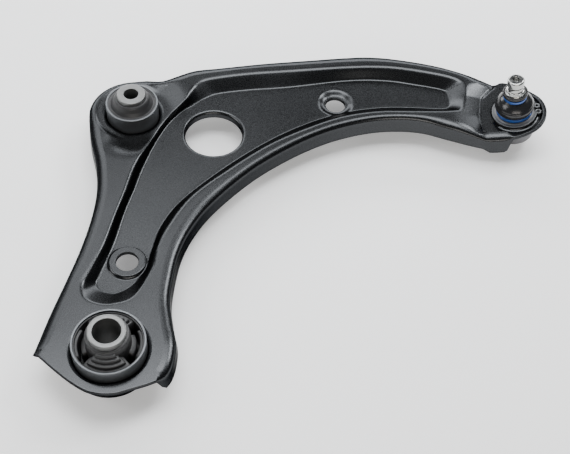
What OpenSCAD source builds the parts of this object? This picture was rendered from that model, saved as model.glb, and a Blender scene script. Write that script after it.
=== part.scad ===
// Front lower control arm: a one-piece pressed steel arm with two rubber
// bushes and a ball joint.
// Origin: axis of the front bush bore, at the top face of the pressing.
// +X runs towards the ball joint, +Z along the bush bores, and the rear bush
// lies at -Y on the line that the arm swings about.

/* [Arm] */
// Distance from the front bush axis to the rear bush axis
bush_spacing = 243; // [242:0.5:244]
// Ball joint centre, measured along X from the front bush axis
ball_x = 346.5; // [345:0.5:348]
// Ball joint centre, measured along Y from the front bush axis
ball_y = 7.5; // [7:0.5:8]
// Inboard lean of the ball joint axis, in degrees
ball_lean = 11; // [10:0.5:12]
// Thickness of the pressed sheet
sheet = 3.5; // [3:0.5:4]
// Depth of the turned-down flange, from the top face to the flange edge
flange = 18; // [16:1:20]
// Depth of the sunk web below the top face
pocket_depth = 9; // [8:0.5:10]

/* [Holes] */
// Radius of the large lightening hole
big_hole_r = 25.5; // [24:0.5:26]
// Length of the turned-down edge of the large lightening hole
big_hole_edge = 7; // [5:0.5:8]
// Radius of the two small tooling holes
tool_hole_r = 9; // [8:0.5:10]

/* [Front bush] */
// Outer radius of the front bush shell
front_r = 23; // [22.5:0.1:23.5]
// Radius of the front bush bolt hole
front_bore_r = 6.35; // [6:0.05:6.5]
// Outer radius of the front bush inner sleeve
front_sleeve_r = 12.5; // [12:0.1:13]
// Height of the front inner sleeve above the top face
front_sleeve_top = 21; // [20:0.5:22]
// Depth of the front inner sleeve below the top face
front_sleeve_bottom = 33; // [32:0.5:34]

/* [Rear bush] */
// Outer radius of the rear bush shell
rear_r = 28; // [27.5:0.1:28.5]
// Radius of the rear bush bolt hole
rear_bore_r = 10.5; // [10:0.1:11]
// Outer radius of the rear bush inner sleeve
rear_sleeve_r = 14.5; // [14:0.1:15]
// Height of the rear inner sleeve above the top face
rear_sleeve_top = 25; // [24:0.5:26]
// Depth of the rear inner sleeve below the top face
rear_sleeve_bottom = 33; // [32:0.5:34]
// Outer radius of the rubber stops that stand on the rear sleeve
rear_stop_r = 20.6; // [20:0.1:21]
// Half the angle that each of the two rubber legs spans, in degrees
rear_leg_angle = 42; // [38:1:44]

/* [Ball joint] */
// Radius of the ball
ball_r = 13; // [12.5:0.1:13]
// Radius of the stud where the knuckle clamps it
stud_r = 7.5; // [7.3:0.1:7.7]
// Height of the stud's end above the pad, along its axis
stud_top = 41.2; // [40:0.2:42]
// Radius of the joint housing where it is pressed into the pad
housing_r = 18; // [17.8:0.1:18.2]

/* [Hidden] */
$fn = 96;

// How far a cutter reaches past the face that it cuts
cut = 1;
// A distance longer than the whole arm, for boxes that bound one side only
beyond = 500;
// How many straight pieces stand for each stretch between two outline points
span_steps = 3;
// How far each bush shell stands above the top face
shell_top = 10.5;
// Wall of both bush shells
shell_wall = 1.8;
// Gap along the bond between a rubber and the sleeve that tilts in it
bond_gap = 0.05;
// Ends of the rubber along each inner sleeve
front_bond_bottom = -26;
front_bond_top = 17.4;
rear_bond_bottom = -27;
rear_bond_top = 21;
// Each rubber leg of the rear bush comes down to the shell in these steps
leg_steps = 4;
leg_step_r = 2.3;
leg_step_height = 3.3;
leg_step_angle = 6;
leg_top = 8;
leg_bottom = -16;
// Rubber bonded around the voids, and the height of the stops in them
lining_wall = 1.6;
lining_top = 8.5;
lining_bottom = -20;
stop_top = 6;
buffer_r = 23;
buffer_top = 7.5;
// Radius of the rolled mouth around each bush and around the large hole
front_roll = 4.5;
rear_roll = 3.5;
hole_roll = 3;
// Lower ends of the collars and of the shells pressed into them
front_collar_bottom = -20;
front_shell_bottom = -22.5;
rear_collar_bottom = -19;
rear_shell_bottom = -21.5;
// Ball centre below the pad, and the ball's clearance in its seat
ball_drop = 8;
ball_clearance = 0.1;
// Depth and radius of the round recess that the circlip lies in
recess_depth = 2;
recess_r = 25.2;
// Outer radius of the plastic seat, the same as the housing's bore
seat_r = 14.6;
// Bottom of the plastic seat and top of the cover plate below it
seat_bottom = -22.5;
cover_bottom = -25;
cover_r = 16;
// Crimped lip below the cover, shoulder under the pad, and the mouth that
// the stud comes out of
housing_bottom = -26.2;
housing_lip_r = 13.5;
shoulder_r = 20.5;
shoulder_height = 3;
seat_top = -1.5;
mouth_r = 11.8;
mouth_flare_r = 12.4;
neck_r = 17;
neck_base = 1.2;
nose_r = 14.9;
nose_top = 6.2;
// Groove that holds the circlip, and the circlip's own size
circlip_groove_r = 17.1;
circlip_r = 20.2;
circlip_top = -0.2;
// The gap in the circlip points outboard
circlip_gap_at = 0.5;
eyelet_spread = 9.7;
eyelet_at_r = 21.5;
eyelet_r = 2.8;
eyelet_hole_r = 1.1;
// Neck that the boot's lower bead sits on
bead_r = 14.2;
bead_bottom = 1.8;
bead_top = 5.2;
lower_ring_r = 15.4;
// Collar at the top of the boot, and the ring around it
collar_r = 8.2;
upper_ring_r = 9.6;
upper_ring_bottom = 19.2;
upper_ring_top = 22;
// The boot's bulge from the outside and from the inside, and the lip at its top
boot_outside = [
    [16.6, bead_top + 0.4], [17.6, 8], [17.4, 11], [15.6, 14.5], [12.6, 17.4]
];
boot_inside = [
    [collar_r, 18.4], [11.6, 16.2], [14.2, 13.6], [15.8, 10.6], [16, 8.2],
    [15.2, 6.6], [15, bead_top - bond_gap]
];
boot_top = 26.2;
boot_lip = [[11, upper_ring_top], [11.2, boot_top - 0.7], [10.4, boot_top]];
// The stud's flange, groove and clamped end, as heights along its axis
stud_flange_r = 9.1;
stud_flange_bottom = 25.3;
stud_flange_top = 27;
groove_bottom = 28.8;
groove_top = 35.2;
groove_depth = 1.4;
// Flat cut under the ball, the slim neck above it, and the end socket
ball_flat = -19.5;
stud_neck_r = 6.2;
socket_r = 2.9;
socket_depth = 3;

rear_y = -bush_spacing;
floor_z = -pocket_depth;
front_centre = [0, 0];
rear_centre = [0, rear_y];
ball_centre = [ball_x, ball_y];
// The web steps down to the leaning pad here
pad_start_x = ball_x - 30;

// ---- Outline of the pressing, clockwise from the rear corner ----
rear_corner = [-57, rear_y - 4];
left_edge = [
    rear_corner, [-48, -212], [-38, -176], [-31, -148],
    [-26, -120], [-24, -92], [-27, -62], [-34, -34]
];
front_edge = [
    [10, 41], [27, 43], [52, 55], [77, 59.5], [120, 67], [165, 73],
    [200, 77.5], [222, 78.5], [248, 75.5], [283, 67.5], [321, 52.5],
    [344, 44.5], [357, 38]
];
inner_edge = [
    [341, -24], [317, -22.5], [289, -14], [262, -5], [234, -3.5],
    [206, -8], [174, -19.5], [141, -38.5], [107, -65], [75, -99.5],
    [58, -126], [48, -152], [43.5, -180], [42.5, -200], [45.5, -220],
    [49, -241], [42, -266]
];
front_lobe_r = 39;
rear_lobe_r = 38;
pad_r = 29;

// Where the flange is left out: an area around the rear bush axis, and all
// that lies past this distance from the ball joint axis
rear_free_area = [
    [-80, 18], [-47, 18], [-40, -2], [-20, -20], [37, -20], [41, -60],
    [-80, -60]
];
pad_free_from = -6;

// ---- The sunk web: each pair is a point on its rim and on its floor ----
pocket = [
    [[42.2, 10.3], [43.3, 9]], [[47.5, 17.5], [50.3, 15.3]],
    [[51.5, 27.5], [57, 20.5]], [[56, 36], [64, 25.8]], [[66, 42], [76, 32]],
    [[100, 49.5], [102, 37]],
    [[142, 55], [142, 42]], [[199, 61], [196, 52]], [[237, 62], [232, 53]],
    [[274, 56], [262, 48]], [[299, 48], [285, 42.5]],
    [[305, 37], [289.5, 36]], [[300, 13], [289, 20]],
    [[288, 7.5], [278, 17]], [[255, 6], [255, 18]], [[222, 5], [224, 17]],
    [[189, -2], [191, 10]], [[158, -16], [159, -3]],
    [[122, -37], [123, -25]], [[88, -65], [83, -58]],
    [[57, -95], [47, -95]], [[38, -129], [31, -122]],
    [[30, -150], [25, -147]], [[27, -171], [20, -167]],
    [[17, -196], [12, -180]], [[0, -204.5], [0, -187.5]],
    [[-16, -204], [-9, -187.5]], [[-28, -194], [-16.5, -182]],
    [[-22, -180], [-14, -171]], [[-13, -149], [-6, -140]],
    [[-6, -118], [0, -108]], [[0, -93], [6.5, -83]],
    [[5.5, -66.5], [10.5, -65]], [[13.2, -45], [16.2, -45]],
    [[20.4, -26], [22.8, -27]], [[27.6, -10.2], [29.8, -11.2]],
    [[34.2, 0.8], [35.8, -1]]
];
pocket_rim = [for (pair = pocket) pair[0]];
pocket_floor = [for (pair = pocket) pair[1]];

big_hole_at = [72.5, -17.5];
// The first tooling hole sits in a dimple, the second on a raised pad
dimple_at = [184, 23];
dimple_depth = 3;
dimple_r = 16;
dimple_foot_r = 12.5;
raised_pad_at = [6.3, -159.5];
raised_pad_height = 3;
raised_pad_r = 15;

// ---- Curves ----
// A smooth curve through p1 and p2, where p0 and p3 are their neighbours
function blend_point(p0, p1, p2, p3, t) = 0.5 * (
    2 * p1 + (p2 - p0) * t
    + (2 * p0 - 5 * p1 + 4 * p2 - p3) * t * t
    + (3 * p1 - p0 - 3 * p2 + p3) * t * t * t
);
function clamped(list, i) = list[max(0, min(len(list) - 1, i))];
function wrapped(list, i) = list[(i + len(list)) % len(list)];
function open_curve(knots) = concat(
    [for (i = [0 : len(knots) - 2], step = [0 : span_steps - 1])
        blend_point(
            clamped(knots, i - 1), knots[i], knots[i + 1],
            clamped(knots, i + 2), step / span_steps
        )],
    [knots[len(knots) - 1]]
);
function closed_curve(knots) = [
    for (i = [0 : len(knots) - 1], step = [0 : span_steps - 1])
        blend_point(
            wrapped(knots, i - 1), knots[i], wrapped(knots, i + 1),
            wrapped(knots, i + 2), step / span_steps
        )
];
function arc_points(centre, r, from, to, count) = [
    for (i = [0 : count])
        let (angle = from + (to - from) * i / count)
            centre + r * [cos(angle), sin(angle)]
];
// The inward normal of the stretch from a to b of a clockwise outline
function inward(a, b) = let (d = (b - a) / norm(b - a)) [d[1], -d[0]];
// The outline moved inwards by d, with its corners kept
function inset(points, d) = [
    for (i = [0 : len(points) - 1])
        let (
            before = inward(wrapped(points, i - 1), points[i]),
            after = inward(points[i], wrapped(points, i + 1))
        )
            points[i] + d * (before + after) / (1 + before * after)
];

outline = open_curve(concat(
    left_edge,
    arc_points(front_centre, front_lobe_r, 190, 105, 4),
    front_edge,
    arc_points(ball_centre, pad_r, 50, -70, 6),
    inner_edge,
    arc_points(rear_centre, rear_lobe_r, -68, -118, 3),
    [[-33, rear_y - 23], rear_corner]
));
// The last point repeats the first
edge = [for (i = [0 : len(outline) - 2]) outline[i]];

// ---- Shared shapes ----
module revolved(profile) {
    rotate_extrude()
        polygon(profile);
}

// A hollow cylinder whose end edges have a small chamfer on the outside
module sleeve(outer, inner, bottom, top, chamfer) {
    revolved([
        [inner, bottom], [outer - chamfer, bottom],
        [outer, bottom + chamfer], [outer, top - chamfer],
        [outer - chamfer, top], [inner, top]
    ]);
}

// Part of a ring, centred on an angle
module sector(inner, outer, bottom, top, at, half_angle) {
    rotate([0, 0, at - half_angle])
        rotate_extrude(angle = 2 * half_angle)
            polygon([[inner, bottom], [outer, bottom], [outer, top], [inner, top]]);
}

// The space inside a collar: a rolled mouth above a straight bore
module rolled_mouth(hole_r, roll, web_z, bottom) {
    steps = 6;
    revolved(concat(
        [[0, bottom - cut], [hole_r, bottom - cut]],
        [for (i = [0 : steps])
            let (angle = 90 * i / steps)
                [hole_r + roll * (1 - cos(angle)),
                 web_z - roll * (1 - sin(angle))]],
        [[hole_r + roll, cut], [0, cut]]
    ));
}

// The sheet around that space, with a filled corner under the web
module rolled_collar(hole_r, roll, web_z, bottom) {
    outer = hole_r + sheet;
    revolved([
        [0, bottom], [outer, bottom], [outer, web_z - roll - sheet],
        [outer + roll, web_z - sheet / 2], [0, web_z - sheet / 2]
    ]);
}

// A solid between two outlines with the same number of points
module loft(lower, lower_z, upper, upper_z) {
    count = len(lower);
    polyhedron(
        points = concat(
            [for (p = lower) [p[0], p[1], lower_z]],
            [for (p = upper) [p[0], p[1], upper_z]]
        ),
        faces = concat(
            [[for (i = [0 : count - 1]) count - 1 - i]],
            [[for (i = [0 : count - 1]) count + i]],
            [for (i = [0 : count - 1])
                let (next = (i + 1) % count) [i, next, count + i]],
            [for (i = [0 : count - 1])
                let (next = (i + 1) % count) [next, count + next, count + i]]
        )
    );
}

// Carries its children to the ball joint's leaning axis
module at_ball_joint() {
    translate([ball_x, ball_y, 0])
        rotate([0, -ball_lean, 0])
            children();
}

module at_rear_bush() {
    translate([0, rear_y, 0])
        children();
}

// ---- The pressing ----
rim_curve = closed_curve(pocket_rim);
floor_curve = closed_curve(pocket_floor);
// Half the corner that the sheet turns through at the rim and at the floor
corner_shift = 1;
pad_step = (ball_x - pad_start_x) * tan(ball_lean);

// A curve on the sloping wall through two curves, k times their gap past the upper
function carried(lower, upper, k) = [
    for (i = [0 : len(upper) - 1]) upper[i] + k * (upper[i] - lower[i])
];

// A solid with that wall, cut off level at the bottom
module sloping(lower, lower_z, upper, upper_z, top_z) {
    rise = upper_z - lower_z;
    intersection() {
        loft(
            carried(lower, upper, -1 - cut / rise), lower_z - cut,
            carried(lower, upper, (top_z - upper_z) / rise), top_z
        );
        translate([-beyond, -beyond, lower_z])
            cube([2 * beyond, 2 * beyond, top_z - lower_z + cut]);
    }
}

module slab(points, bottom, top) {
    translate([0, 0, bottom])
        linear_extrude(top - bottom)
            polygon(points);
}

module flat_web() {
    intersection() {
        slab(edge, -sheet, 0);
        translate([-beyond, -beyond, -beyond])
            cube([pad_start_x + beyond, 2 * beyond, 2 * beyond]);
    }
}

module pocket_shell() {
    sloping(
        inset(floor_curve, -corner_shift), floor_z - sheet,
        inset(rim_curve, -corner_shift), -sheet / 2, -sheet / 2
    );
}

module pocket_space() {
    sloping(floor_curve, floor_z, rim_curve, 0, cut);
}

// The rear edge and the end of the pad have no flange below them
module flange_free_ends() {
    at_rear_bush()
        slab(rear_free_area, -flange - cut, -sheet);
    at_ball_joint() {
        translate([pad_free_from, -beyond, -beyond])
            cube([beyond, 2 * beyond, beyond - sheet]);
        translate([-pad_r, -beyond, -sheet / 2])
            cube([beyond, 2 * beyond, beyond]);
    }
}

module flange_wall() {
    difference() {
        slab(edge, -flange, 0);
        slab(inset(edge, sheet), -flange - cut, cut);
        flange_free_ends();
    }
}

// The leaning pad, and the step up from it to the web
module pad() {
    intersection() {
        at_ball_joint()
            translate([-ball_x, -ball_y, 0])
                slab(edge, -sheet, 0);
        translate([pad_start_x - sheet, -beyond, -beyond])
            cube([beyond, 2 * beyond, 2 * beyond]);
    }
    intersection() {
        slab(edge, -pad_step - sheet, 0);
        translate([pad_start_x - sheet, -beyond, -beyond])
            cube([sheet, 2 * beyond, 2 * beyond]);
    }
    at_ball_joint()
        translate([0, 0, -recess_depth - sheet])
            cylinder(r = pad_r - 1, h = recess_depth + sheet / 2);
}

module recess_space() {
    at_ball_joint() {
        translate([0, 0, -recess_depth])
            cylinder(r = recess_r, h = recess_depth + cut);
        translate([0, 0, -2 * flange])
            cylinder(r = housing_r, h = 3 * flange);
    }
}

// Sheet around and under the dimple of the first tooling hole
module dimple_shell() {
    translate([dimple_at[0], dimple_at[1], 0])
        revolved([
            [0, floor_z - dimple_depth - sheet],
            [dimple_foot_r + sheet / 2, floor_z - dimple_depth - sheet],
            [dimple_r + sheet / 2, floor_z - sheet / 2], [0, floor_z - sheet / 2]
        ]);
}

module dimple_space() {
    translate([dimple_at[0], dimple_at[1], 0])
        revolved([
            [0, floor_z - dimple_depth], [dimple_foot_r, floor_z - dimple_depth],
            [dimple_r, floor_z], [dimple_r + cut, floor_z + cut],
            [0, floor_z + cut]
        ]);
}

module raised_pad() {
    translate([raised_pad_at[0], raised_pad_at[1], floor_z - sheet / 2])
        cylinder(r = raised_pad_r, h = raised_pad_height + sheet / 2);
}

module tooling_holes() {
    for (at = [dimple_at, raised_pad_at])
        translate([at[0], at[1], -2 * flange])
            cylinder(r = tool_hole_r, h = 3 * flange);
}

module arm_pressing() {
    color([0.06, 0.065, 0.07])
        difference() {
            union() {
                flat_web();
                flange_wall();
                difference() {
                    union() {
                        pocket_shell();
                        dimple_shell();
                    }
                    pocket_space();
                }
                pad();
                raised_pad();
                rolled_collar(front_r, front_roll, 0, front_collar_bottom);
                at_rear_bush()
                    rolled_collar(rear_r, rear_roll, 0, rear_collar_bottom);
                translate([big_hole_at[0], big_hole_at[1], 0])
                    rolled_collar(
                        big_hole_r, hole_roll, floor_z, floor_z - big_hole_edge
                    );
            }
            difference() {
                pocket_space();
                raised_pad();
            }
            dimple_space();
            tooling_holes();
            rolled_mouth(front_r, front_roll, 0, front_collar_bottom);
            at_rear_bush()
                rolled_mouth(rear_r, rear_roll, 0, rear_collar_bottom);
            translate([big_hole_at[0], big_hole_at[1], 0])
                rolled_mouth(
                    big_hole_r, hole_roll, floor_z, floor_z - big_hole_edge
                );
            recess_space();
        }
}

// ---- Front bush ----
module front_outer_sleeve() {
    color([0.32, 0.33, 0.35])
        sleeve(front_r, front_r - shell_wall, front_shell_bottom, shell_top, 0.8);
}

module front_rubber() {
    inner = front_sleeve_r + bond_gap;
    outer = front_r - shell_wall;
    color([0.05, 0.05, 0.055])
        revolved([
            [inner, front_bond_bottom], [inner + 2, front_bond_bottom],
            [inner + 4.5, front_bond_bottom + 7],
            [outer, front_shell_bottom + 1.5], [outer, shell_top - 0.8],
            [outer - 2.4, shell_top - 1.5], [inner + 4, shell_top + 2],
            [inner + 2.6, front_bond_top - 1.4],
            [inner + 1.3, front_bond_top], [inner, front_bond_top]
        ]);
}

module front_inner_sleeve() {
    color([0.55, 0.56, 0.56])
        sleeve(
            front_sleeve_r, front_bore_r,
            -front_sleeve_bottom, front_sleeve_top, 0.8
        );
}

// ---- Rear bush ----
module rear_outer_sleeve() {
    color([0.32, 0.33, 0.35])
        at_rear_bush()
            sleeve(rear_r, rear_r - shell_wall, rear_shell_bottom, shell_top, 0.8);
}

// Two legs carry the sleeve fore and aft; two voids with stops flank it
module rear_rubber() {
    inner = rear_sleeve_r + bond_gap;
    outer = rear_r - shell_wall;
    lining = outer - lining_wall;
    hub = rear_sleeve_r + 2.6;
    stop_angle = 70 - rear_leg_angle;
    color([0.05, 0.05, 0.055])
        at_rear_bush()
            union() {
                revolved([
                    [inner, rear_bond_bottom], [hub, rear_bond_bottom + 2],
                    [hub, rear_bond_top - 5], [hub - 0.8, rear_bond_top - 0.6],
                    [inner, rear_bond_top]
                ]);
                sleeve(outer, lining, lining_bottom, lining_top, 0.3);
                for (at = [90, 270], step = [0 : leg_steps - 1])
                    sector(
                        hub - 1, lining + 0.5 - step * leg_step_r,
                        leg_bottom - step, leg_top + step * leg_step_height,
                        at, rear_leg_angle - step * leg_step_angle
                    );
                for (at = [0, 180]) {
                    sector(
                        hub - 1, rear_stop_r, leg_bottom + 1, stop_top,
                        at, stop_angle
                    );
                    sector(
                        buffer_r, lining + 0.5, leg_bottom, buffer_top,
                        at, stop_angle + 2
                    );
                }
            }
}

module rear_inner_sleeve() {
    color([0.55, 0.56, 0.56])
        at_rear_bush()
            sleeve(
                rear_sleeve_r, rear_bore_r,
                -rear_sleeve_bottom, rear_sleeve_top, 0.8
            );
}

// ---- Ball joint ----
// All its heights are measured from the pad's top face along the leaning axis
module joint_housing() {
    shoulder_top = -recess_depth - sheet;
    color([0.16, 0.16, 0.17])
        at_ball_joint()
            revolved([
                [housing_lip_r, housing_bottom], [neck_r, housing_bottom],
                [housing_r, housing_bottom + 1],
                [housing_r, shoulder_top - shoulder_height],
                [shoulder_r, shoulder_top - shoulder_height],
                [shoulder_r, shoulder_top], [housing_r, shoulder_top],
                [housing_r, -recess_depth], [circlip_groove_r, -recess_depth],
                [circlip_groove_r, circlip_top], [housing_r, circlip_top],
                [housing_r, neck_base - 0.6], [neck_r, neck_base],
                [bead_r, bead_bottom], [bead_r, bead_top],
                [nose_r, bead_top], [nose_r, nose_top],
                [mouth_flare_r, nose_top + 0.3], [mouth_r, 0],
                [mouth_r, seat_top], [seat_r, seat_top],
                [seat_r, seat_bottom], [cover_r, seat_bottom],
                [cover_r, cover_bottom], [housing_lip_r, cover_bottom]
            ]);
}

module ball_seat() {
    color([0.82, 0.8, 0.72])
        at_ball_joint()
            difference() {
                translate([0, 0, seat_bottom])
                    cylinder(r = seat_r, h = seat_top - seat_bottom);
                translate([0, 0, -ball_drop])
                    sphere(r = ball_r + ball_clearance);
            }
}

module ball_stud() {
    groove_mid = (groove_bottom + groove_top) / 2;
    half = (groove_top - groove_bottom) / 2;
    steps = 8;
    color([0.75, 0.76, 0.77])
        at_ball_joint()
            difference() {
                union() {
                    intersection() {
                        translate([0, 0, -ball_drop])
                            sphere(r = ball_r);
                        translate([0, 0, ball_flat])
                            cylinder(r = 2 * ball_r, h = 3 * ball_r);
                    }
                    revolved(concat(
                        [[0, -ball_drop], [stud_neck_r, -ball_drop],
                         [stud_neck_r, 8], [stud_r - 0.1, 14],
                         [collar_r - bond_gap, 18],
                         [collar_r - bond_gap, stud_flange_bottom],
                         [stud_flange_r, stud_flange_bottom],
                         [stud_flange_r, stud_flange_top - 0.6],
                         [stud_flange_r - 0.6, stud_flange_top],
                         [stud_r, stud_flange_top]],
                        [for (i = [0 : steps])
                            let (angle = -90 + 180 * i / steps)
                                [stud_r - groove_depth * cos(angle),
                                 groove_mid + half * sin(angle)]],
                        [[stud_r, stud_top - 1], [stud_r - 1, stud_top],
                         [0, stud_top]]
                    ));
                }
                translate([0, 0, stud_top - socket_depth])
                    cylinder(r = socket_r, h = socket_depth + cut, $fn = 6);
            }
}

module cover_plate() {
    color([0.3, 0.3, 0.31])
        at_ball_joint()
            translate([0, 0, cover_bottom])
                cylinder(r = cover_r, h = seat_bottom - cover_bottom);
}

module at_eyelets() {
    for (side = [-1, 1])
        rotate([0, 0, circlip_gap_at + side * eyelet_spread])
            translate([eyelet_at_r, 0])
                children();
}

module circlip() {
    reach = 2 * circlip_r;
    half_gap = reach * tan(eyelet_spread);
    color([0.35, 0.35, 0.36])
        at_ball_joint()
            translate([0, 0, -recess_depth])
                linear_extrude(circlip_top + recess_depth)
                    difference() {
                        union() {
                            difference() {
                                circle(r = circlip_r);
                                circle(r = circlip_groove_r);
                                rotate([0, 0, circlip_gap_at])
                                    polygon([
                                        [0, 0], [reach, -half_gap],
                                        [reach, half_gap]
                                    ]);
                            }
                            at_eyelets()
                                circle(r = eyelet_r);
                        }
                        at_eyelets()
                            circle(r = eyelet_hole_r);
                    }
}

// Thin rubber: a bead on the housing, a bulge, and a collar on the stud
module dust_boot() {
    color([0.04, 0.04, 0.045])
        at_ball_joint()
            revolved([
                [bead_r + bond_gap, bead_bottom + 0.1],
                [lower_ring_r, bead_bottom + 0.1],
                [lower_ring_r, bead_top],
                for (p = boot_outside) p,
                [upper_ring_r, upper_ring_bottom],
                [upper_ring_r, upper_ring_top],
                for (p = boot_lip) p,
                [stud_flange_r + bond_gap, boot_top],
                [stud_flange_r + bond_gap, stud_flange_bottom - bond_gap],
                [collar_r, stud_flange_bottom - bond_gap],
                for (p = boot_inside) p,
                [bead_r + bond_gap, bead_top - bond_gap]
            ]);
}

module upper_clamp_ring() {
    color([0.05, 0.16, 0.42])
        at_ball_joint()
            sleeve(
                upper_ring_r + 1, upper_ring_r + bond_gap,
                upper_ring_bottom, upper_ring_top - bond_gap, 0.3
            );
}

module lower_clamp_ring() {
    color([0.05, 0.16, 0.42])
        at_ball_joint()
            sleeve(
                lower_ring_r + 1.2, lower_ring_r + bond_gap,
                bead_bottom + 0.3, bead_top - 0.1, 0.3
            );
}

arm_pressing();
front_outer_sleeve();
front_rubber();
front_inner_sleeve();
rear_outer_sleeve();
rear_rubber();
rear_inner_sleeve();
joint_housing();
ball_seat();
ball_stud();
cover_plate();
circlip();
dust_boot();
upper_clamp_ring();
lower_clamp_ring();
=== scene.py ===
import math

import bmesh
import bpy
import numpy as np
from mathutils import Matrix, Vector
from mathutils.geometry import delaunay_2d_cdt


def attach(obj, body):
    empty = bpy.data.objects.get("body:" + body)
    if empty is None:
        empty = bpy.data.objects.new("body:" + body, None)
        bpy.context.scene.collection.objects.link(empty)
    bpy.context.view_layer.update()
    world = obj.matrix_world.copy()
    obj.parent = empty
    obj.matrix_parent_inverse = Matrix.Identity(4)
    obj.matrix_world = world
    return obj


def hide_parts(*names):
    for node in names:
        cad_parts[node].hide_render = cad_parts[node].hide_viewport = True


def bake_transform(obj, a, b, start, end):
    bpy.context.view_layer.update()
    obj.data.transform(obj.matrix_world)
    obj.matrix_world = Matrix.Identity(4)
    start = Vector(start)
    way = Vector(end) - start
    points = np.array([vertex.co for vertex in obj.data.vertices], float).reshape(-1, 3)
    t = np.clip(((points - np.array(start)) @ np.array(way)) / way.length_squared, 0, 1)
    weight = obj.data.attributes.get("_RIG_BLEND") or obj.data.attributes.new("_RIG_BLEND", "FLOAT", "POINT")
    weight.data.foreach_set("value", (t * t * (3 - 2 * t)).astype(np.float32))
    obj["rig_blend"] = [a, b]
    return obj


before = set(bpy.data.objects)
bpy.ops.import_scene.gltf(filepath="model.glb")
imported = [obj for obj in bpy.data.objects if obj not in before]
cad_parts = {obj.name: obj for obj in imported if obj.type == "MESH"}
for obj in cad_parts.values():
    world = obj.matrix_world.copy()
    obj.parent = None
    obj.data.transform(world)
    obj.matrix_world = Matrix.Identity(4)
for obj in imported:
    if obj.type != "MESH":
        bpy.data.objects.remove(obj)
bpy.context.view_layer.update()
MM = 0.001

# ---- The arm's own dimensions, in millimetres ----
# The front bush's axis is at the origin, the ball joint lies towards +X, the rear bush towards -Y,
# and the pressing's top face is at z = 0.
SHEET = 3.5
FRONT = np.array([0.0, 0.0])
REAR = np.array([0.0, -243.0])
BALL = np.array([346.5, 7.5])
LEAN = math.radians(11)
FRONT_LOBE_R = 39
REAR_LOBE_R = 38
PAD_R = 29
BIG_HOLE = np.array([72.5, -17.5])
BIG_HOLE_R = 25.5
TOOL_HOLE_R = 9
# One tooling hole sits in a dimple, the other on a raised pad
DIMPLE = np.array([184.0, 23.0])
DIMPLE_DEPTH = 3.0
RAISED = np.array([6.3, -159.5])
RAISED_HEIGHT = 2.2
# Height of the sunk web, depth of the dish around the front bush, and how far the end of the arm
# comes down to meet the leaning pad
FLOOR_Z = -9.0
DISH = 2.8
PAD_SAG = 5.6
# Depth of the flange, and of the rounding that leads into it
FLANGE_DEPTH = 18
EDGE_ROUND = 5.0
# The joint's round recess: its depth, the hole for the housing, and its narrowest radius
RECESS_DEPTH = 2.0
HOUSING_R = 18
RECESS_R = 20.3
# Bushes: the shells' outer radii and wall, and the inner sleeves' radii, bores and ends
FRONT_R = 23
REAR_R = 28
SHELL_WALL = 1.8
SHELL_TOP = 10.5
FRONT_SLEEVE_R = 12.5
FRONT_BORE_R = 6.35
FRONT_SLEEVE_TOP = 21
REAR_SLEEVE_R = 14.5
REAR_BORE_R = 10.5
REAR_SLEEVE_TOP = 25
SLEEVE_BOTTOM = -33
# Ball joint: the ball, the stud and the groove around it, as heights along the leaning axis
BALL_R = 13
BALL_Z = -8
STUD_R = 7.5
GROOVE_Z = 32.0
GROOVE_HALF = 3.2
GROOVE_DEPTH = 1.4
# Steps of the curves from each of their points to the next
OUTLINE_STEPS = 8
POCKET_STEPS = 9
SKIN_STEPS = 5

LEFT_EDGE = [(-56, -246), (-48, -212), (-38, -176), (-31, -148), (-26, -120), (-24, -92),
             (-27, -62), (-34, -34)]
FRONT_EDGE = [(10, 41), (27, 43), (52, 55), (77, 59.5), (120, 67), (165, 73), (200, 77.5),
              (222, 78.5), (248, 75.5), (283, 67.5), (321, 52.5), (344, 44.5), (357, 38)]
INNER_EDGE = [(341, -24), (317, -22.5), (289, -14), (262, -5), (234, -3.5), (206, -8),
              (174, -19.5), (141, -38.5), (107, -65), (75, -99.5), (58, -126), (48, -152),
              (43.5, -180), (42.5, -200), (45.5, -220), (49, -241), (42, -266)]
REAR_EDGE = [(-33, -266), (-56, -246)]
# The sunk web: each pair is a point on its rim and on its floor
POCKET = [((42.2, 10.3), (43.3, 9)), ((47.5, 17.5), (50.3, 15.3)), ((51.5, 27.5), (57, 20.5)),
          ((56, 36), (64, 25.8)), ((66, 42), (76, 32)), ((100, 49.5), (102, 37)),
          ((142, 55), (142, 42)), ((199, 61), (196, 52)), ((237, 62), (232, 53)),
          ((274, 56), (262, 48)), ((299, 48), (285, 42.5)), ((305, 37), (289.5, 36)),
          ((300, 13), (289, 20)), ((288, 7.5), (278, 17)), ((255, 6), (255, 18)),
          ((222, 5), (224, 17)), ((189, -2), (191, 10)), ((158, -16), (159, -3)),
          ((122, -37), (123, -25)), ((88, -65), (83, -58)), ((57, -95), (47, -95)),
          ((38, -129), (31, -122)), ((30, -150), (25, -147)), ((27, -171), (20, -167)),
          ((15, -197), (12, -180)), ((0, -204), (1, -188)), ((-13, -203.8), (-7, -188)),
          ((-23.5, -198), (-14, -185)), ((-26, -187), (-16.5, -178)), ((-21, -172), (-13.5, -167)),
          ((-13, -149), (-6, -140)), ((-6, -118), (0, -108)), ((0, -93), (6.5, -83)),
          ((5.5, -66.5), (10.5, -65)), ((13.2, -45), (16.2, -45)), ((20.4, -26), (22.8, -27)),
          ((27.6, -10.2), (29.8, -11.2)), ((34.2, 0.8), (35.8, -1))]


# ---- Curves ----
def smooth(low, high, value):
    """0 below the first number, 1 above the second, and a soft rise between them."""
    t = np.clip((np.asarray(value, float) - low) / (high - low), 0, 1)
    return t * t * (3 - 2 * t)


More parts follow.
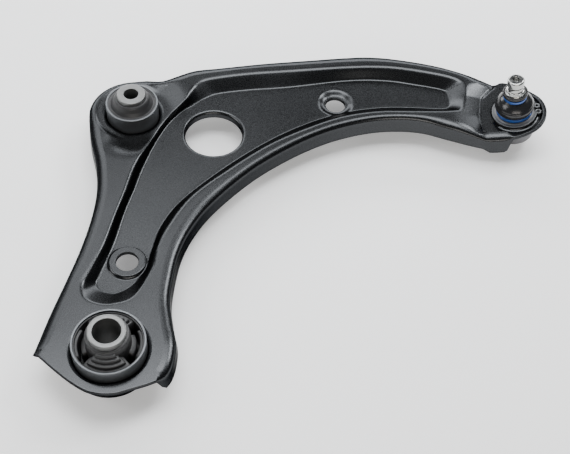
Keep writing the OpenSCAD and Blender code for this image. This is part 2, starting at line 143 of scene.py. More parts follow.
def spline(knots, steps, closed):
    """A smooth curve through the knots, with this many steps from each to the next."""
    knots = np.array(knots, float)
    count = len(knots)
    out = []
    for i in range(count if closed else count - 1):
        near = (i - 1, i, i + 1, i + 2)
        at = [k % count if closed else min(max(k, 0), count - 1) for k in near]
        p0, p1, p2, p3 = knots[at]
        for t in np.arange(steps) / steps:
            out.append(0.5 * (2 * p1 + (p2 - p0) * t + (2 * p0 - 5 * p1 + 4 * p2 - p3) * t ** 2
                              + (3 * p1 - p0 - 3 * p2 + p3) * t ** 3))
    if not closed:
        out.append(knots[-1])
    return np.array(out)


def arc(centre, r, first, last, count):
    a = np.radians(np.linspace(first, last, count + 1))
    return [tuple(p) for p in np.c_[centre[0] + r * np.cos(a), centre[1] + r * np.sin(a)]]


def circle(centre, r, count):
    a = np.arange(count) * 2 * np.pi / count
    return np.c_[centre[0] + r * np.cos(a), centre[1] + r * np.sin(a)]


def normals(points):
    """Unit normals of a clockwise closed curve, pointing inwards."""
    along = np.roll(points, -1, 0) - np.roll(points, 1, 0)
    along /= np.linalg.norm(along, axis=1)[:, None]
    return np.c_[along[:, 1], -along[:, 0]]


def eased(values, span=9):
    """Values along a closed curve, averaged over this many neighbours on each side."""
    kernel = np.hanning(2 * span + 1)
    padded = np.r_[values[-span:], values, values[:span]]
    return np.convolve(padded, kernel / kernel.sum(), "valid")


def inset(points, distance):
    """The clockwise outline moved inwards by a distance that may differ at each point."""
    ahead = np.roll(points, -1, 0) - points
    ahead /= np.linalg.norm(ahead, axis=1)[:, None]
    normal = np.c_[ahead[:, 1], -ahead[:, 0]]
    before = np.roll(normal, 1, 0)
    mitre = (normal + before) / (1 + (normal * before).sum(1))[:, None]
    return points + mitre * np.broadcast_to(distance, len(points))[:, None]


def inside(points, polygon):
    x, y = points[:, 0][:, None], points[:, 1][:, None]
    a, b = polygon, np.roll(polygon, -1, 0)
    crosses = (a[:, 1] > y) != (b[:, 1] > y)
    with np.errstate(divide="ignore", invalid="ignore"):
        at = a[:, 0] + (y - a[:, 1]) * (b[:, 0] - a[:, 0]) / (b[:, 1] - a[:, 1])
    return (crosses & (x < at)).sum(1) % 2 == 1


def distance_to(points, centre):
    return np.hypot(*(points - centre).T)


# ---- Making objects ----
def outward(obj):
    bm = bmesh.new()
    bm.from_mesh(obj.data)
    bmesh.ops.recalc_face_normals(bm, faces=bm.faces)
    bm.to_mesh(obj.data)
    bm.free()


def make(name, verts, faces, body, material, stands_for, sharp=40, bend=None):
    """A piece in millimetres. With a bend it lies between two bodies and follows the second."""
    mesh = bpy.data.meshes.new(name)
    mesh.from_pydata((np.asarray(verts) * MM).tolist(), [], [list(map(int, f)) for f in faces])
    mesh.validate()
    mesh.shade_smooth()
    mesh.set_sharp_from_angle(angle=math.radians(sharp))
    obj = bpy.data.objects.new(name, mesh)
    bpy.context.scene.collection.objects.link(obj)
    mesh.materials.append(material)
    outward(obj)
    if bend is None:
        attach(obj, body)
    else:
        weights = bend(np.asarray(verts, float))
        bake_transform(obj, body[0], body[1], (0, 0, 0), (0, 0, 0.01))
        blend = obj.data.attributes["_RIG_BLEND"]
        blend.data.foreach_set("value", weights.astype(np.float32))
    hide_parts(stands_for)


def rounded(points, radius, steps=4):
    """A closed profile with its corners rounded, by one radius or by one for each corner."""
    points = np.array(points, float)
    count = len(points)
    radii = np.broadcast_to(radius, count)
    out = []
    for i in range(count):
        p, a, b = points[i], points[i - 1], points[(i + 1) % count]
        u, v = a - p, b - p
        length_u, length_v = np.linalg.norm(u), np.linalg.norm(v)
        u, v = u / length_u, v / length_v
        corner = math.acos(np.clip(u @ v, -1, 1))
        if radii[i] <= 0 or corner > math.radians(176):
            out.append(p)
            continue
        trim = min(radii[i] / math.tan(corner / 2), 0.45 * length_u, 0.45 * length_v)
        for t in np.linspace(0, 1, steps + 1):
            out.append((1 - t) ** 2 * (p + u * trim) + 2 * t * (1 - t) * p
                       + t ** 2 * (p + v * trim))
    return np.array(out)


def lathe(profile, steps=144, first=0.0, last=360.0, soft_end=0.0):
    """A closed profile of radius and height turned about z, all the way or as a sector."""
    profile = np.asarray(profile, float)
    whole = abs(last - first) >= 360
    row_count = steps if whole else steps + 1
    angles = np.radians(first + (last - first) * np.arange(row_count) / steps)
    middle = profile.mean(0)
    rows = []
    for k, a in enumerate(angles):
        ring = profile
        away = min(k, steps - k)
        if not whole and soft_end and away < 3:
            shrink = soft_end * (1 - math.sqrt(1 - (1 - away / 3) ** 2))
            ring = middle + (profile - middle) * (1 - shrink)
        rows.append(np.c_[ring[:, 0] * math.cos(a), ring[:, 0] * math.sin(a), ring[:, 1]])
    n = len(profile)
    faces = []
    for k in range(steps):
        k2 = (k + 1) % row_count
        for i in range(n):
            j = (i + 1) % n
            faces.append((k * n + i, k2 * n + i, k2 * n + j, k * n + j))
    if not whole:
        faces += [tuple(range(n)), tuple(steps * n + i for i in range(n))]
    return np.concatenate(rows), faces


def tube(inner, outer, bottom, top):
    return [(inner, bottom), (outer, bottom), (outer, top), (inner, top)]


def join(parts):
    verts, faces, at = [], [], 0
    for v, f in parts:
        verts.append(v)
        faces += [tuple(i + at for i in face) for face in f]
        at += len(v)
    return np.concatenate(verts), faces


def leaned(verts):
    """From the ball joint's own axis to the arm's frame."""
    v = np.asarray(verts, float)
    c, s = math.cos(LEAN), math.sin(LEAN)
    return np.c_[BALL[0] + v[:, 0] * c - v[:, 2] * s, BALL[1] + v[:, 1],
                 v[:, 0] * s + v[:, 2] * c]


def moved(verts, offset):
    return np.asarray(verts, float) + np.append(offset, 0)


# ---- Materials ----
def finish_material(name, color, roughness, metallic=0.0, coat=0.0, coat_roughness=0.2,
                    vary=0.25, bump=0.02, grain=900.0, blotch=18.0, stretch=(1, 1, 1), edge=1.0,
                    wear=0.0):
    """A surface whose colour varies in large blotches, and whose gloss and relief vary finely."""
    m = bpy.data.materials.new(name)
    m.use_nodes = True
    nodes, links = m.node_tree.nodes, m.node_tree.links
    nodes.clear()
    out = nodes.new("ShaderNodeOutputMaterial")
    shader = nodes.new("ShaderNodeBsdfPrincipled")
    links.new(shader.outputs["BSDF"], out.inputs["Surface"])
    shader.inputs["Metallic"].default_value = metallic
    shader.inputs["Specular Tint"].default_value = (edge, edge, edge, 1)
    shader.inputs["Coat Weight"].default_value = coat
    shader.inputs["Coat Roughness"].default_value = coat_roughness
    coords = nodes.new("ShaderNodeTexCoord")
    scale = nodes.new("ShaderNodeMapping")
    scale.inputs["Scale"].default_value = stretch
    links.new(coords.outputs["Object"], scale.inputs["Vector"])
    large = nodes.new("ShaderNodeTexNoise")
    large.inputs["Scale"].default_value = blotch
    large.inputs["Detail"].default_value = 4
    fine = nodes.new("ShaderNodeTexNoise")
    fine.inputs["Scale"].default_value = grain
    fine.inputs["Detail"].default_value = 3
    for noise in (large, fine):
        links.new(scale.outputs["Vector"], noise.inputs["Vector"])
    shade = nodes.new("ShaderNodeMix")
    shade.data_type = "RGBA"
    dark, light = [s for s in shade.inputs if s.type == "RGBA"]
    dark.default_value = (*[c * (1 - vary) for c in color], 1)
    light.default_value = (*[min(1, c * (1 + vary)) for c in color], 1)
    links.new(large.outputs["Fac"], shade.inputs[0])
    mixed = [s for s in shade.outputs if s.type == "RGBA"][0]
    links.new(mixed, shader.inputs["Base Color"])
    rough = nodes.new("ShaderNodeMapRange")
    rough.inputs["From Min"].default_value = 0.3
    rough.inputs["From Max"].default_value = 0.7
    rough.inputs["To Min"].default_value = max(0.02, roughness - 0.05)
    rough.inputs["To Max"].default_value = min(1, roughness + 0.06 + wear)
    links.new(fine.outputs["Fac"], rough.inputs["Value"])
    links.new(rough.outputs["Result"], shader.inputs["Roughness"])
    relief = nodes.new("ShaderNodeBump")
    relief.inputs["Strength"].default_value = bump
    relief.inputs["Distance"].default_value = 0.4 * MM
    links.new(fine.outputs["Fac"], relief.inputs["Height"])
    links.new(relief.outputs["Normal"], shader.inputs["Normal"])
    return m


black_coat = finish_material("black_coat", (0.0440, 0.0455, 0.0475), 0.26, metallic=1.0, edge=0.3,
                             vary=0.14, bump=0.02, grain=1500, blotch=14, wear=0.01)
shell_steel = finish_material("phosphated_steel", (0.13, 0.137, 0.145), 0.40, metallic=0.8,
                              bump=0.15, grain=1200)
sleeve_steel = finish_material("turned_steel", (0.17, 0.172, 0.17), 0.40, metallic=0.85, bump=0.2,
                               grain=500, stretch=(1, 1, 6))
bush_rubber = finish_material("bush_rubber", (0.015, 0.015, 0.016), 0.46, bump=0.25, grain=1800,
                              vary=0.3)
dark_steel = finish_material("dark_steel", (0.12, 0.12, 0.125), 0.4, metallic=0.6, bump=0.15)
spring_steel = finish_material("spring_steel", (0.11, 0.113, 0.117), 0.34, metallic=0.8,
                               bump=0.12)
bright_steel = finish_material("bright_steel", (0.40, 0.40, 0.39), 0.18, metallic=1.0, bump=0.015,
                               grain=400, vary=0.12)
seat_plastic = finish_material("seat_plastic", (0.72, 0.70, 0.62), 0.4, bump=0.1, vary=0.06)
boot_rubber = finish_material("boot_rubber", (0.012, 0.012, 0.013), 0.2, bump=0.06, grain=900,
                              vary=0.3)
blue_ring = finish_material("blue_ring", (0.018, 0.085, 0.34), 0.2, metallic=0.3, coat=0.6,
                            coat_roughness=0.1, bump=0.05, vary=0.15)

# ---- The pressing's outline, and how far its flange has turned down at each point of it ----
outline = spline(LEFT_EDGE + arc(FRONT, FRONT_LOBE_R, 190, 105, 4) + FRONT_EDGE
                 + arc(BALL, PAD_R, 50, -70, 6) + INNER_EDGE
                 + arc(REAR, REAR_LOBE_R, -68, -118, 3) + REAR_EDGE,
                 OUTLINE_STEPS, closed=False)[:-1]
left_side = outline[:, 0] < 10
right_rear = ~left_side & (outline[:, 1] < -250)
turned = 1 - smooth(334, 342, outline[:, 0])
turned *= np.where(left_side, smooth(-249.5, -246.8, outline[:, 1]), 1)
turned *= np.where(right_rear, smooth(37, 41, outline[:, 0]), 1)
# The flange grows from nothing to its full depth along the left edge
deep = np.where(left_side, smooth(-250, -222, outline[:, 1]), 1)


# ---- Heights of the pressing's upper face ----
def rail_height(x, y):
    """The top face, with a shallow dish around the front bush: its edge is sharp on the lobe's
    side and gentle towards the arm."""
    r = np.hypot(x, y)
    towards = np.degrees(np.arctan2(y, x))
    gentle = smooth(-128, -95, towards) * (1 - smooth(45, 75, towards))
    sharp_dish = 1 - smooth(30.8, 34.4, r)
    gentle_dish = 1 - smooth(30, 56, r)
    return -DISH * (0.4 * sharp_dish * (1 - gentle) + 1.25 * gentle * gentle_dish)


def floor_height(x, y):
    """The sunk web, with the dimple and the raised pad around its tooling holes."""
    dimple = 1 - smooth(10.0, 17.4, np.hypot(x - DIMPLE[0], y - DIMPLE[1]))
    raised = 1 - smooth(14.2, 16.3, np.hypot(x - RAISED[0], y - RAISED[1]))
    return FLOOR_Z - DIMPLE_DEPTH * dimple + RAISED_HEIGHT * raised


def pad_height(x, y):
    """The leaning pad is flat, seen along its own axis."""
    return 0 * x


def pad_line(y):
    """Where the arm meets the leaning pad."""
    return np.interp(y, [-24, -16, 5, 28, 37, 44], [318, 316.5, 314.5, 320, 328, 336])


def sag(x, y, z):
    """The end of the arm comes down to meet the pad, while the flange's lower edge stays level."""
    near = np.clip((x - pad_line(y)) / 27 + 1, 0, 1)
    return z - PAD_SAG * near ** 1.6 * np.clip(1 + z / FLANGE_DEPTH, 0, 1)


def place(x, y, z):
    """Points of the flat pressing, with its end brought down to the pad and the pad leaned."""
    x, y, z = (np.asarray(v, float) for v in (x, y, z))
    t = smooth(-1.8, 2.6, x - pad_line(y))
    tilted = leaned(np.c_[x - BALL[0], y - BALL[1], z])
    return np.c_[x, y, sag(x, y, z)] * (1 - t)[:, None] + tilted * t[:, None]


# ---- The pressing's upper face, as points and loops that its triangles follow ----
class Face:
    CELL = 4

    def __init__(self):
        self.points, self.edges, self.cells = [], [], {}

    def cell(self, x, y):
        return int(x // self.CELL), int(y // self.CELL)

    def crowded(self, x, y, gap):
        """Whether a point of the face already lies closer than the gap."""
        i, j = self.cell(x, y)
        return any(math.dist(at, (x, y)) < gap for a in (i - 1, i, i + 1)
                   for b in (j - 1, j, j + 1) for at in self.cells.get((a, b), ()))

    def add(self, point):
        self.points.append(tuple(point))
        self.cells.setdefault(self.cell(*point[:2]), []).append(tuple(point[:2]))
        return len(self.points) - 1

    def loop(self, points):
        at = [self.add(p) for p in points]
        self.edges += list(zip(at, at[1:] + at[:1]))
        return at

    def loose(self, points, gap):
        for p in points:
            if not self.crowded(p[0], p[1], gap):
                self.add(p)


top = Face()
rim = spline([pair[0] for pair in POCKET], POCKET_STEPS, closed=True)
low = spline([pair[1] for pair in POCKET], POCKET_STEPS, closed=True)

# The crowned edge is as wide as the room between the outline and what lies inside it allows
room = np.sqrt(((outline[:, None] - rim[None]) ** 2).sum(2)).min(1) - 1.5
for centre, r in ((FRONT, 28.5), (REAR, 32.5), (BIG_HOLE, 34)):
    room = np.minimum(room, distance_to(outline, centre) - r)
crown = np.clip(0.6 * room, 3.0, 9.0)
crown = np.minimum(crown, 5.5 + 0.35 * distance_to(outline, LEFT_EDGE[0]))
PLAIN_EDGE = 1.2
border = inset(outline, PLAIN_EDGE + (crown - PLAIN_EDGE) * turned)
rail_at_edge = rail_height(border[:, 0], border[:, 1])
border_loop = top.loop(place(border[:, 0], border[:, 1], rail_at_edge))

# The wall down to the sunk web: a rounded rim, a straight slope and a rounded foot
WALL_STEPS = 5
rim_in, low_in = normals(rim), normals(low)
width = np.maximum(eased(np.abs(((low - rim) * (rim_in + low_in) / 2).sum(1))), 2.0)
steep = np.arctan2(-FLOOR_Z, width)
rim_round = np.minimum(7.0, 0.95 * width)
foot_round = np.minimum(3.4, 0.75 * width)
crest, foot = [], []
for k in range(WALL_STEPS + 1):
    turn = steep * k / WALL_STEPS
    crest.append((rim_round * (np.sin(turn) - np.tan(steep / 2)),
                  -rim_round * (1 - np.cos(turn))))
    foot.append((width + foot_round * (np.tan(steep / 2) - np.sin(turn)),
                 FLOOR_Z + foot_round * (1 - np.cos(turn))))
slope = [tuple(crest[-1][k] * (1 - share) + foot[-1][k] * share for k in (0, 1))
         for share in (0.25, 0.5, 0.75)]
rings = []
for u, z in crest + slope + foot[::-1]:
    share = np.clip(u / width, 0, 1)[:, None]
    ring = (rim + (low - rim) * share + rim_in * np.minimum(u, 0)[:, None]
            + low_in * np.maximum(u - width, 0)[:, None])
    rings.append(ring)
    sunk = z / FLOOR_Z
    x, y = ring[:, 0], ring[:, 1]
    top.loop(place(x, y, (1 - sunk) * rail_height(x, y) + sunk * floor_height(x, y)))


def on_rail(points):
    return inside(points, border) & ~inside(points, rings[0])


def on_web(points):
    return inside(points, rings[-1])


# ---- Holes: how the sheet turns down through each, as radius and drop from the upper face ----
def collar(r, roll, depth):
    """A rolled mouth, a straight bore, and back up outside it."""
    quarter = np.radians([18, 36, 54, 72, 90])
    mouth = [(r + roll * (1 - math.sin(a)), -roll * (1 - math.cos(a))) for a in quarter]
    return mouth + [(r, -depth * 0.75), (r, -depth + 0.6), (r + 0.2, -depth + 0.15),
                    (r + 0.6, -depth), (r + SHEET - 0.6, -depth), (r + SHEET - 0.15, -depth + 0.2),
                    (r + SHEET, -depth + 0.6), (r + SHEET, -roll - SHEET - 1),
                    (r + SHEET + 0.2, -SHEET - 0.8)]


def punched(r):
    """A plain hole whose two edges are slightly broken."""
    return [(r + 0.3, -0.08), (r + 0.1, -0.3), (r, -0.7), (r, -2.8), (r + 0.1, -3.2),
            (r + 0.3, -3.42)]


# Each hole's centre, its radius at the upper face, how it turns down, its steps and its face
HOLES = [(FRONT, FRONT_R + 4.5, collar(FRONT_R, 4.5, 17.2), 120, rail_height),
         (REAR, REAR_R + 3.5, collar(REAR_R, 3.5, 19), 132, rail_height),
         (BIG_HOLE, BIG_HOLE_R + 3, collar(BIG_HOLE_R, 3, 7), 120, floor_height),
         (DIMPLE, TOOL_HOLE_R + 0.5, punched(TOOL_HOLE_R), 60, floor_height),
         (RAISED, TOOL_HOLE_R + 0.5, punched(TOOL_HOLE_R), 60, floor_height)]
hole_loops = []
for centre, r, turns, count, height in HOLES:
    ring = circle(centre, r, count)
    hole_loops.append(top.loop(np.c_[ring, height(ring[:, 0], ring[:, 1])]))
JOINT_STEPS = 96
joint_ring = circle((0, 0), HOUSING_R + 0.5, JOINT_STEPS)
joint_loop = top.loop(leaned(np.c_[joint_ring, np.full(JOINT_STEPS, -RECESS_DEPTH)]))

# The recess around the joint, as radius and height: it is narrower on the inboard side
RECESS_STEPS = 144
RECESS_WALL = [(20.3, -2.0), (20.7, -2.6), (21.2, -3.1), (23.6, -3.1), (24.4, -2.8), (24.8, -2.0),
               (25.1, -1.0), (25.5, -0.3), (26.1, -0.03)]
angles = np.arange(RECESS_STEPS) * 2 * np.pi / RECESS_STEPS
wide = 1 - 0.82 * smooth(0.1, 0.75, np.cos(angles - math.radians(150)))
for r, z in RECESS_WALL:
    radius = RECESS_R + (r - RECESS_R) * wide
    ring = radius[:, None] * np.c_[np.cos(angles), np.sin(angles)]
    top.loop(leaned(np.c_[ring, np.full(RECESS_STEPS, z)]))

# ---- Loose points between the loops, closer together where the face bends ----
for away in (-2.6, -1.8, -1.2, -0.6, 0.0, 0.6, 1.2, 1.8, 2.6, 3.4):
    y = np.arange(-25, 50, 1.4)
    line = np.c_[pad_line(y) + away, y]
    line = line[on_rail(line)]
    top.loose(place(line[:, 0], line[:, 1], pad_height(*line.T)), 0.45)


def rings_around(centre, radii, steps, keep, height, gap):
    for r in radii:
        ring = circle(centre, r, steps)
        ring = ring[keep(ring)]
        top.loose(np.c_[ring, height(ring[:, 0], ring[:, 1])], gap)


rings_around(DIMPLE, (10.8, 12.0, 13.2, 14.4, 15.6, 16.8, 18.0), 72, on_web, floor_height, 0.6)
rings_around(RAISED, (10.8, 12.4, 13.6, 14.3, 14.8, 15.3, 15.8, 16.3, 17.0), 72, on_web,
             floor_height, 0.6)
rings_around(FRONT, (29, 30.4, 31.4, 32.4, 33.4, 34.4, 36, 38, 40, 42, 44, 46, 48, 50), 150,
             on_rail, rail_height, 0.7)


def scatter(step, box, keep, height, gap):
    """Points in a triangular grid over a box."""
    xs = np.arange(box[0], box[1], step)
    ys = np.arange(box[2], box[3], step * 0.866)
    grid = np.array([(x + (step / 2 if k % 2 else 0), y) for k, y in enumerate(ys) for x in xs])
    grid = grid[keep(grid)]
    top.loose(place(grid[:, 0], grid[:, 1], height(grid[:, 0], grid[:, 1])), gap)


PAD_BOX = (308, 336, -26, 50)
ARM_BOX = (-60, 380, -275, 85)
scatter(1.6, PAD_BOX, on_rail, pad_height, 1.1)
scatter(4.0, ARM_BOX, on_rail, rail_height, 2.2)
scatter(4.0, ARM_BOX, on_web, floor_height, 2.2)

# ---- Triangles between all these points, left out past the border and in the holes ----
points = np.array(top.points)
found, _, triangles, origins, _, _ = delaunay_2d_cdt(
    [Vector(p[:2]) for p in points], top.edges, [], 1, 1e-5)
flat = np.array([tuple(v) for v in found])
surface = np.zeros((len(flat), 3))
index_of = {}
for i, source in enumerate(origins):
    if source:
        surface[i] = points[source[0]]
        for s in source:
            index_of[s] = i
    else:
        close = np.argsort(((points[:, :2] - flat[i]) ** 2).sum(1))[:3]
        surface[i] = (*flat[i], points[close, 2].mean())
triangles = np.array([t for t in triangles if len(t) == 3])
middle = flat[triangles].mean(1)
keep = inside(middle, flat[[index_of[i] for i in border_loop]])
for loop in [*hole_loops, joint_loop]:
    keep &= ~inside(middle, flat[[index_of[i] for i in loop]])
triangles = triangles[keep]

# ---- The lower face, one sheet's thickness below ----
a, b, c = (surface[triangles[:, k]] for k in range(3))
normal = np.zeros_like(surface)
for k in range(3):
    np.add.at(normal, triangles[:, k], np.cross(b - a, c - a))
upright = np.abs(normal[:, 2]) / np.maximum(np.linalg.norm(normal, axis=1), 1e-9)
under = surface - np.c_[np.zeros((len(surface), 2)), SHEET / np.maximum(upright, 0.6)]

surface_count = len(surface)
verts = [*surface, *under]
faces = [tuple(t) for t in triangles] + [tuple(t[::-1] + surface_count) for t in triangles]


def stitch(loop, rows):
    """Rows of points from a loop of the upper face round to the same loop of the lower face."""
    chain = [np.array([index_of[i] for i in loop])]
    for row in rows:
        first = len(verts)
        verts.extend(row)
        chain.append(np.arange(first, first + len(row)))
    chain.append(chain[0] + surface_count)
    for one, two in zip(chain, chain[1:]):
        for i in range(len(one)):
            j = (i + 1) % len(one)
            faces.append((one[i], two[i], two[j], one[j]))


# The edge as distance inwards and height, where the flange is turned down and where it isn't
FLANGED = [(crown * (1 - math.sin(t)), -EDGE_ROUND * (1 - math.cos(t)))
           for t in np.radians([15, 30, 45, 60, 75, 90])]
FLANGED += [(-0.1, -8), (-0.3, -11), (-0.6, -14), (-0.95, -17.2), (-0.9, -17.7), (-0.5, -18.1),
            (1.25, -18.4), (2.2, -18.1), (2.5, -17.6), (2.85, -14), (3.15, -11), (3.35, -8),
            (3.5, -5.8), (3.7, -4.8), (4.3, -3.9)]
PLAIN = [(0.9, -0.01), (0.65, -0.05), (0.42, -0.15), (0.22, -0.32), (0.07, -0.55), (0, -0.85),
         (0, -1.1), (0, -1.4), (0, -1.7), (0, -2.0), (0, -2.2), (0, -2.4), (0, -2.55),
         (0, -2.65), (0.04, -2.85), (0.1, -3.0), (0.18, -3.15), (0.3, -3.28), (0.45, -3.38),
         (0.65, -3.45), (0.9, -3.49)]
rows = []
for (u1, z1), (u0, z0) in zip(FLANGED, PLAIN):
    u = u0 + (u1 - u0) * turned
    z1 = np.maximum(z1, -EDGE_ROUND) + np.minimum(z1 + EDGE_ROUND, 0) * deep
    z = z0 + (z1 - z0) * turned + rail_at_edge * 0.5
    ring = inset(outline, u)
    rows.append(place(ring[:, 0], ring[:, 1], z))
stitch(border_loop, rows)
for (centre, _, turns, count, _), loop in zip(HOLES, hole_loops):
    base = surface[[index_of[i] for i in loop], 2]
    stitch(loop, [np.c_[circle(centre, r, count), base + drop] for r, drop in turns])
stitch(joint_loop, [leaned(np.c_[circle((0, 0), r, JOINT_STEPS),
                                 np.full(JOINT_STEPS, drop - RECESS_DEPTH)])
                    for r, drop in punched(HOUSING_R)])
make("pressing", np.array(verts), faces, "arm", black_coat, "arm_pressing", sharp=50)

# ---- Bushes ----
def shell(name, centre, outer, bottom, stands_for):
    v, f = lathe(rounded(tube(outer - SHELL_WALL, outer, bottom, SHELL_TOP), 0.7))
    make(name, moved(v, centre), f, "arm", shell_steel, stands_for)


def inner_sleeve(name, centre, body, bore, outer, sleeve_top, stands_for):
    v, f = lathe(rounded(tube(bore, outer, SLEEVE_BOTTOM, sleeve_top), [0.5, 0.8, 1.0, 0.6]))
    make(name, moved(v, centre), f, body, sleeve_steel, stands_for)


shell("front_shell", FRONT, FRONT_R, -22.5, "front_outer_sleeve")
inner_sleeve("front_sleeve", FRONT, "front_mounting", FRONT_BORE_R, FRONT_SLEEVE_R,
             FRONT_SLEEVE_TOP, "front_inner_sleeve")
shell("rear_shell", REAR, REAR_R, -21.5, "rear_outer_sleeve")
inner_sleeve("rear_sleeve", REAR, "rear_mounting", REAR_BORE_R, REAR_SLEEVE_R,
             REAR_SLEEVE_TOP, "rear_inner_sleeve")


def radial(centre, inner, outer):
    """How far a rubber follows its inner sleeve: fully at the bond, not at all at the shell."""
    return lambda v: 1 - smooth(inner, outer, distance_to(v[:, :2], centre))


v, f = lathe(rounded([(12.52, -26), (14.5, -26), (17, -19), (21.2, -21), (21.2, 9.8),
                      (20.3, 10.0), (18.8, 9.2), (16.6, 12.6), (15.2, 16.2), (13.9, 17.6),
                      (12.52, 17.4)], [0, 1, 2, 0.5, 0, 0.6, 1.6, 2.5, 1.6, 1, 0]))
make("front_bush_rubber", v, f, ("arm", "front_mounting"), bush_rubber,
     "front_rubber", sharp=55, bend=radial(FRONT, 12.6, 21.0))

# The rear rubber: around the sleeve, inside the shell, and a thin dark skin across the voids, a sheet of
# painted shade that stands for the shade deep in the open voids
pieces = [lathe(rounded([(14.52, -27), (17, -25.5), (17.1, 15.5), (16.3, 20.4), (14.52, 21)],
                        [0, 1, 1, 1, 0])),
          lathe(rounded([(24.6, -20), (26.2, -20), (26.2, 8.8), (25.2, 8.8)], [0.4, 0, 0, 0.4])),
          # Painted shade: a dark rubber sheet across the open voids, so they read black instead of showing
          # the floor
          lathe(rounded(tube(16, 24.8, -15.5, -14), 0.3))]
# Each leg comes down to the shell in four steps
LEG_STEPS = [([(16, -16), (25.4, -16), (25.4, 8.0), (16, 10)], 0.8, 45),
             ([(16, -18), (23.4, -18), (23.2, 11.4), (16, 12.4)], 0.9, 39),
             ([(16, -19), (20.8, -19), (20.6, 14.8), (16, 15.6)], 0.9, 33),
             ([(16, -19), (18.6, -19), (18.4, 17.8), (16, 18.6)], 0.8, 26)]
for at in (90, 270):
    for corners, radius, half in LEG_STEPS:
        pieces.append(lathe(rounded(corners, radius), 40, at - half, at + half, 0.15))
# A stop on the sleeve and a buffer on the shell face each other across each void
STOPS = [([(16, -15), (20.6, -15), (20.4, 5.4), (16, 8.0)], 1.2, 28),
         ([(22.8, -16), (25.4, -16), (25.4, 7.6), (22.8, 7.0)], 0.9, 31)]
for at in (0, 180):
    for corners, radius, half in STOPS:
        pieces.append(lathe(rounded(corners, radius), 32, at - half, at + half, 0.3))
v, f = join(pieces)
make("rear_bush_rubber", moved(v, REAR), f, ("arm", "rear_mounting"), bush_rubber,
     "rear_rubber", sharp=50, bend=radial(REAR, 17.0, 25.6))

# ---- Ball joint, on its own leaning axis ----
ball = [(BALL_R * math.sin(a), BALL_Z - BALL_R * math.cos(a)) for a in np.linspace(0.5, 2.66, 30)]
groove = [(STUD_R - GROOVE_DEPTH * math.cos(a), GROOVE_Z + GROOVE_HALF * math.sin(a))
          for a in np.linspace(-math.pi / 2, math.pi / 2, 13)]
shank = [(6.2, 6), (7.4, 14), (8.1, 17.6), (8.15, 24.6), (8.9, 25.3), (9.1, 25.6), (9.1, 26.5),
         (8.8, 26.9), (8.3, 27.0), (7.7, 27.1), (STUD_R, 27.4)]
end = [(STUD_R, 35.8), (STUD_R, 39.6), (7.35, 40.2), (6.9, 40.8), (6.3, 41.15), (5.6, 41.2),
       (3.2, 41.2), (3.0, 41.0), (2.9, 40.6), (2.9, 36.6), (0.02, 36.0)]
v, f = lathe([(0.02, -19.4), (6.2, -19.4)] + ball + shank + groove + end, 120)
make("stud", leaned(v), f, "stud", bright_steel, "ball_stud", sharp=35)


def upward(low_at, high_at):
    """How far a point has come along the joint's axis between two heights."""
    axis = np.array([-math.sin(LEAN), 0, math.cos(LEAN)])
    base = np.array([BALL[0], BALL[1], 0.0])
    return lambda v: smooth(low_at, high_at, (v - base) @ axis)


# The boot in two halves, which meet at its widest bend
MIDWAY = 12.4
lower_skin = spline([(15.4, 2.0), (15.4, 4.9), (16.5, 5.9), (17.5, 8.2), (17.3, 11.0),
                     (16.6, MIDWAY)], SKIN_STEPS, closed=False)
lower_lining = [(15.2, 12.0), (15.9, 8.3), (15.2, 6.2), (14.3, 5.0), (14.3, 2.0)]
v, f = lathe([*lower_skin, *lower_lining], 132)
make("boot_lower", leaned(v), f, ("arm", "boot"), boot_rubber, "dust_boot",
     sharp=70, bend=upward(5.4, MIDWAY))
upper_skin = spline([(16.6, MIDWAY), (15.6, 14.2), (13.0, 16.9), (10.4, 18.6), (9.6, 19.4),
                     (9.6, 21.6), (10.4, 22.6), (11.1, 23.8), (11.2, 25.2), (10.5, 26.2),
                     (9.5, 26.1)], SKIN_STEPS, closed=False)
upper_lining = [(9.2, 25.3), (8.2, 25.2), (8.2, 18.6), (11.6, 15.9), (15.2, 12.0)]
v, f = lathe([*upper_skin, *upper_lining], 132)
make("boot_upper", leaned(v), f, ("boot", "boot_collar"), boot_rubber, "dust_boot",
     sharp=70, bend=upward(MIDWAY, 19.4))
v, f = lathe(rounded(tube(9.65, 10.6, 19.3, 21.9), 0.45), 120)
make("upper_ring", leaned(v), f, "boot_collar", blue_ring, "upper_clamp_ring")
v, f = lathe(rounded(tube(15.45, 16.6, 2.0, 5.1), 0.5), 144)
make("lower_ring", leaned(v), f, "arm", blue_ring, "lower_clamp_ring")

# The circlip: an open ring with an eyelet at each end
EYELETS_AT = (-9.2, 10.2)
EYELET_R = 21.4
clip = [lathe(rounded(tube(17.15, 20.2, -2, 0.4), 0.35), 150, EYELETS_AT[1],
              360 + EYELETS_AT[0])]
for at in EYELETS_AT:
    a = math.radians(at)
    v, f = lathe(rounded(tube(1.3, 2.8, -1.6, 0.4), 0.35), 40)
    clip.append((moved(v, EYELET_R * np.array([math.cos(a), math.sin(a)])), f))
v, f = join(clip)
make("snap_ring", leaned(v), f, "arm", spring_steel, "circlip")

for node, material, slot in (("joint_housing", dark_steel, "dark_steel"),
                             ("ball_seat", seat_plastic, "seat_plastic"),
                             ("cover_plate", dark_steel, "dark_steel")):
    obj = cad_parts[node]
    obj.data.materials.clear()
    obj.data.materials.append(material)

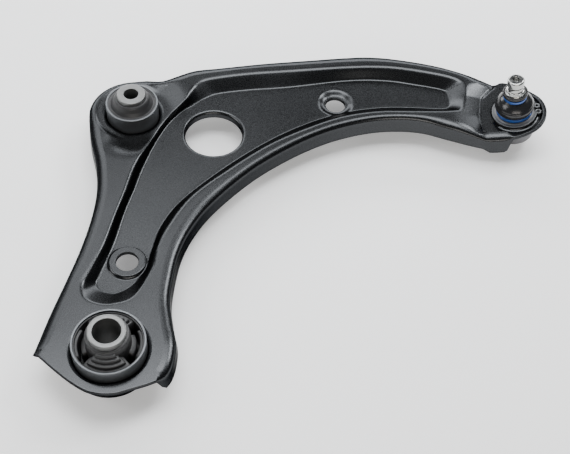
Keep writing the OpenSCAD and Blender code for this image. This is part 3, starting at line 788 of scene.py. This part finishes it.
# ---- Studio, in metres ----
FLOOR_BELOW = -0.0335
floor_coat = bpy.data.materials.new("studio_floor")
floor_coat.use_nodes = True
shader = floor_coat.node_tree.nodes["Principled BSDF"]
shader.inputs["Base Color"].default_value = (0.86, 0.86, 0.86, 1)
shader.inputs["Roughness"].default_value = 0.9
shader.inputs["Emission Color"].default_value = (1, 1, 1, 1)
shader.inputs["Emission Strength"].default_value = 0.3
mesh = bpy.data.meshes.new("studio_floor")
mesh.from_pydata([(x, y, FLOOR_BELOW) for x, y in ((-6, -6), (6, -6), (6, 6), (-6, 6))], [],
                 [(0, 1, 2, 3)])
mesh.materials.append(floor_coat)
floor = bpy.data.objects.new("studio_floor", mesh)
bpy.context.scene.collection.objects.link(floor)

world = bpy.data.worlds.new("studio")
bpy.context.scene.world = world
world.use_nodes = True
world.node_tree.nodes["Background"].inputs["Color"].default_value = (0.84, 0.92, 1.0, 1)
world.node_tree.nodes["Background"].inputs["Strength"].default_value = 0.10


def softbox(name, at, aim, size, watts, color):
    data = bpy.data.lights.new(name, "AREA")
    data.shape = "RECTANGLE"
    data.size, data.size_y = size
    data.energy = watts
    data.color = color
    lamp = bpy.data.objects.new(name, data)
    lamp.location = at
    lamp.rotation_mode = "QUATERNION"
    lamp.rotation_quaternion = (Vector(aim) - Vector(at)).to_track_quat("-Z", "Y")
    bpy.context.scene.collection.objects.link(lamp)


COOL, WHITE, WARM = (0.97, 0.985, 1.0), (1, 1, 1), (1.0, 0.95, 0.88)
softbox("overhead", (0.10, 0.21, 1.5), (0.10, 0.0, 0), (1.3, 0.70), 27, COOL)
softbox("between", (-0.08, 0.80, 1.25), (0.04, -0.12, 0), (0.5, 0.30), 1.7, COOL)
softbox("far_low", (0.10, 1.5, 0.72), (0.10, -0.1, 0), (3.0, 0.52), 42, COOL)
softbox("left_back", (-0.62, 0.85, 1.13), (0.0, -0.1, 0), (0.6, 0.5), 4, COOL)
softbox("right_back", (1.05, 0.58, 1.15), (0.0, -0.1, 0), (0.5, 0.4), 12, COOL)
softbox("left", (-1.35, -0.15, 1.0), (0.1, -0.1, 0), (0.8, 0.9), 12, WHITE)
softbox("front_fill", (0.25, -1.6, 0.8), (0.2, 0, 0), (1.4, 0.6), 12, WARM)

# ---- Camera, high in front of the arm ----
camera_data = bpy.data.cameras.new("camera")
camera_data.sensor_width = 36
camera_data.lens = 61.81
camera = bpy.data.objects.new("camera", camera_data)
bpy.context.scene.collection.objects.link(camera)
heading, pitch, roll = math.radians(5.034), math.radians(52.825), math.radians(-4.666)
ahead = Vector((math.sin(heading), math.cos(heading), 0))
side = Vector((math.cos(heading), -math.sin(heading), 0))
forward = ahead * math.cos(pitch) - Vector((0, 0, 1)) * math.sin(pitch)
above = ahead * math.sin(pitch) + Vector((0, 0, 1)) * math.cos(pitch)
right = side * math.cos(roll) - above * math.sin(roll)
up = side * math.sin(roll) + above * math.cos(roll)
axes = Matrix([[right[k], up[k], -forward[k]] for k in range(3)])
camera.rotation_mode = "QUATERNION"
camera.rotation_quaternion = axes.to_quaternion()
camera.location = (0.09062, -0.6118, 0.640)
bpy.context.scene.camera = camera
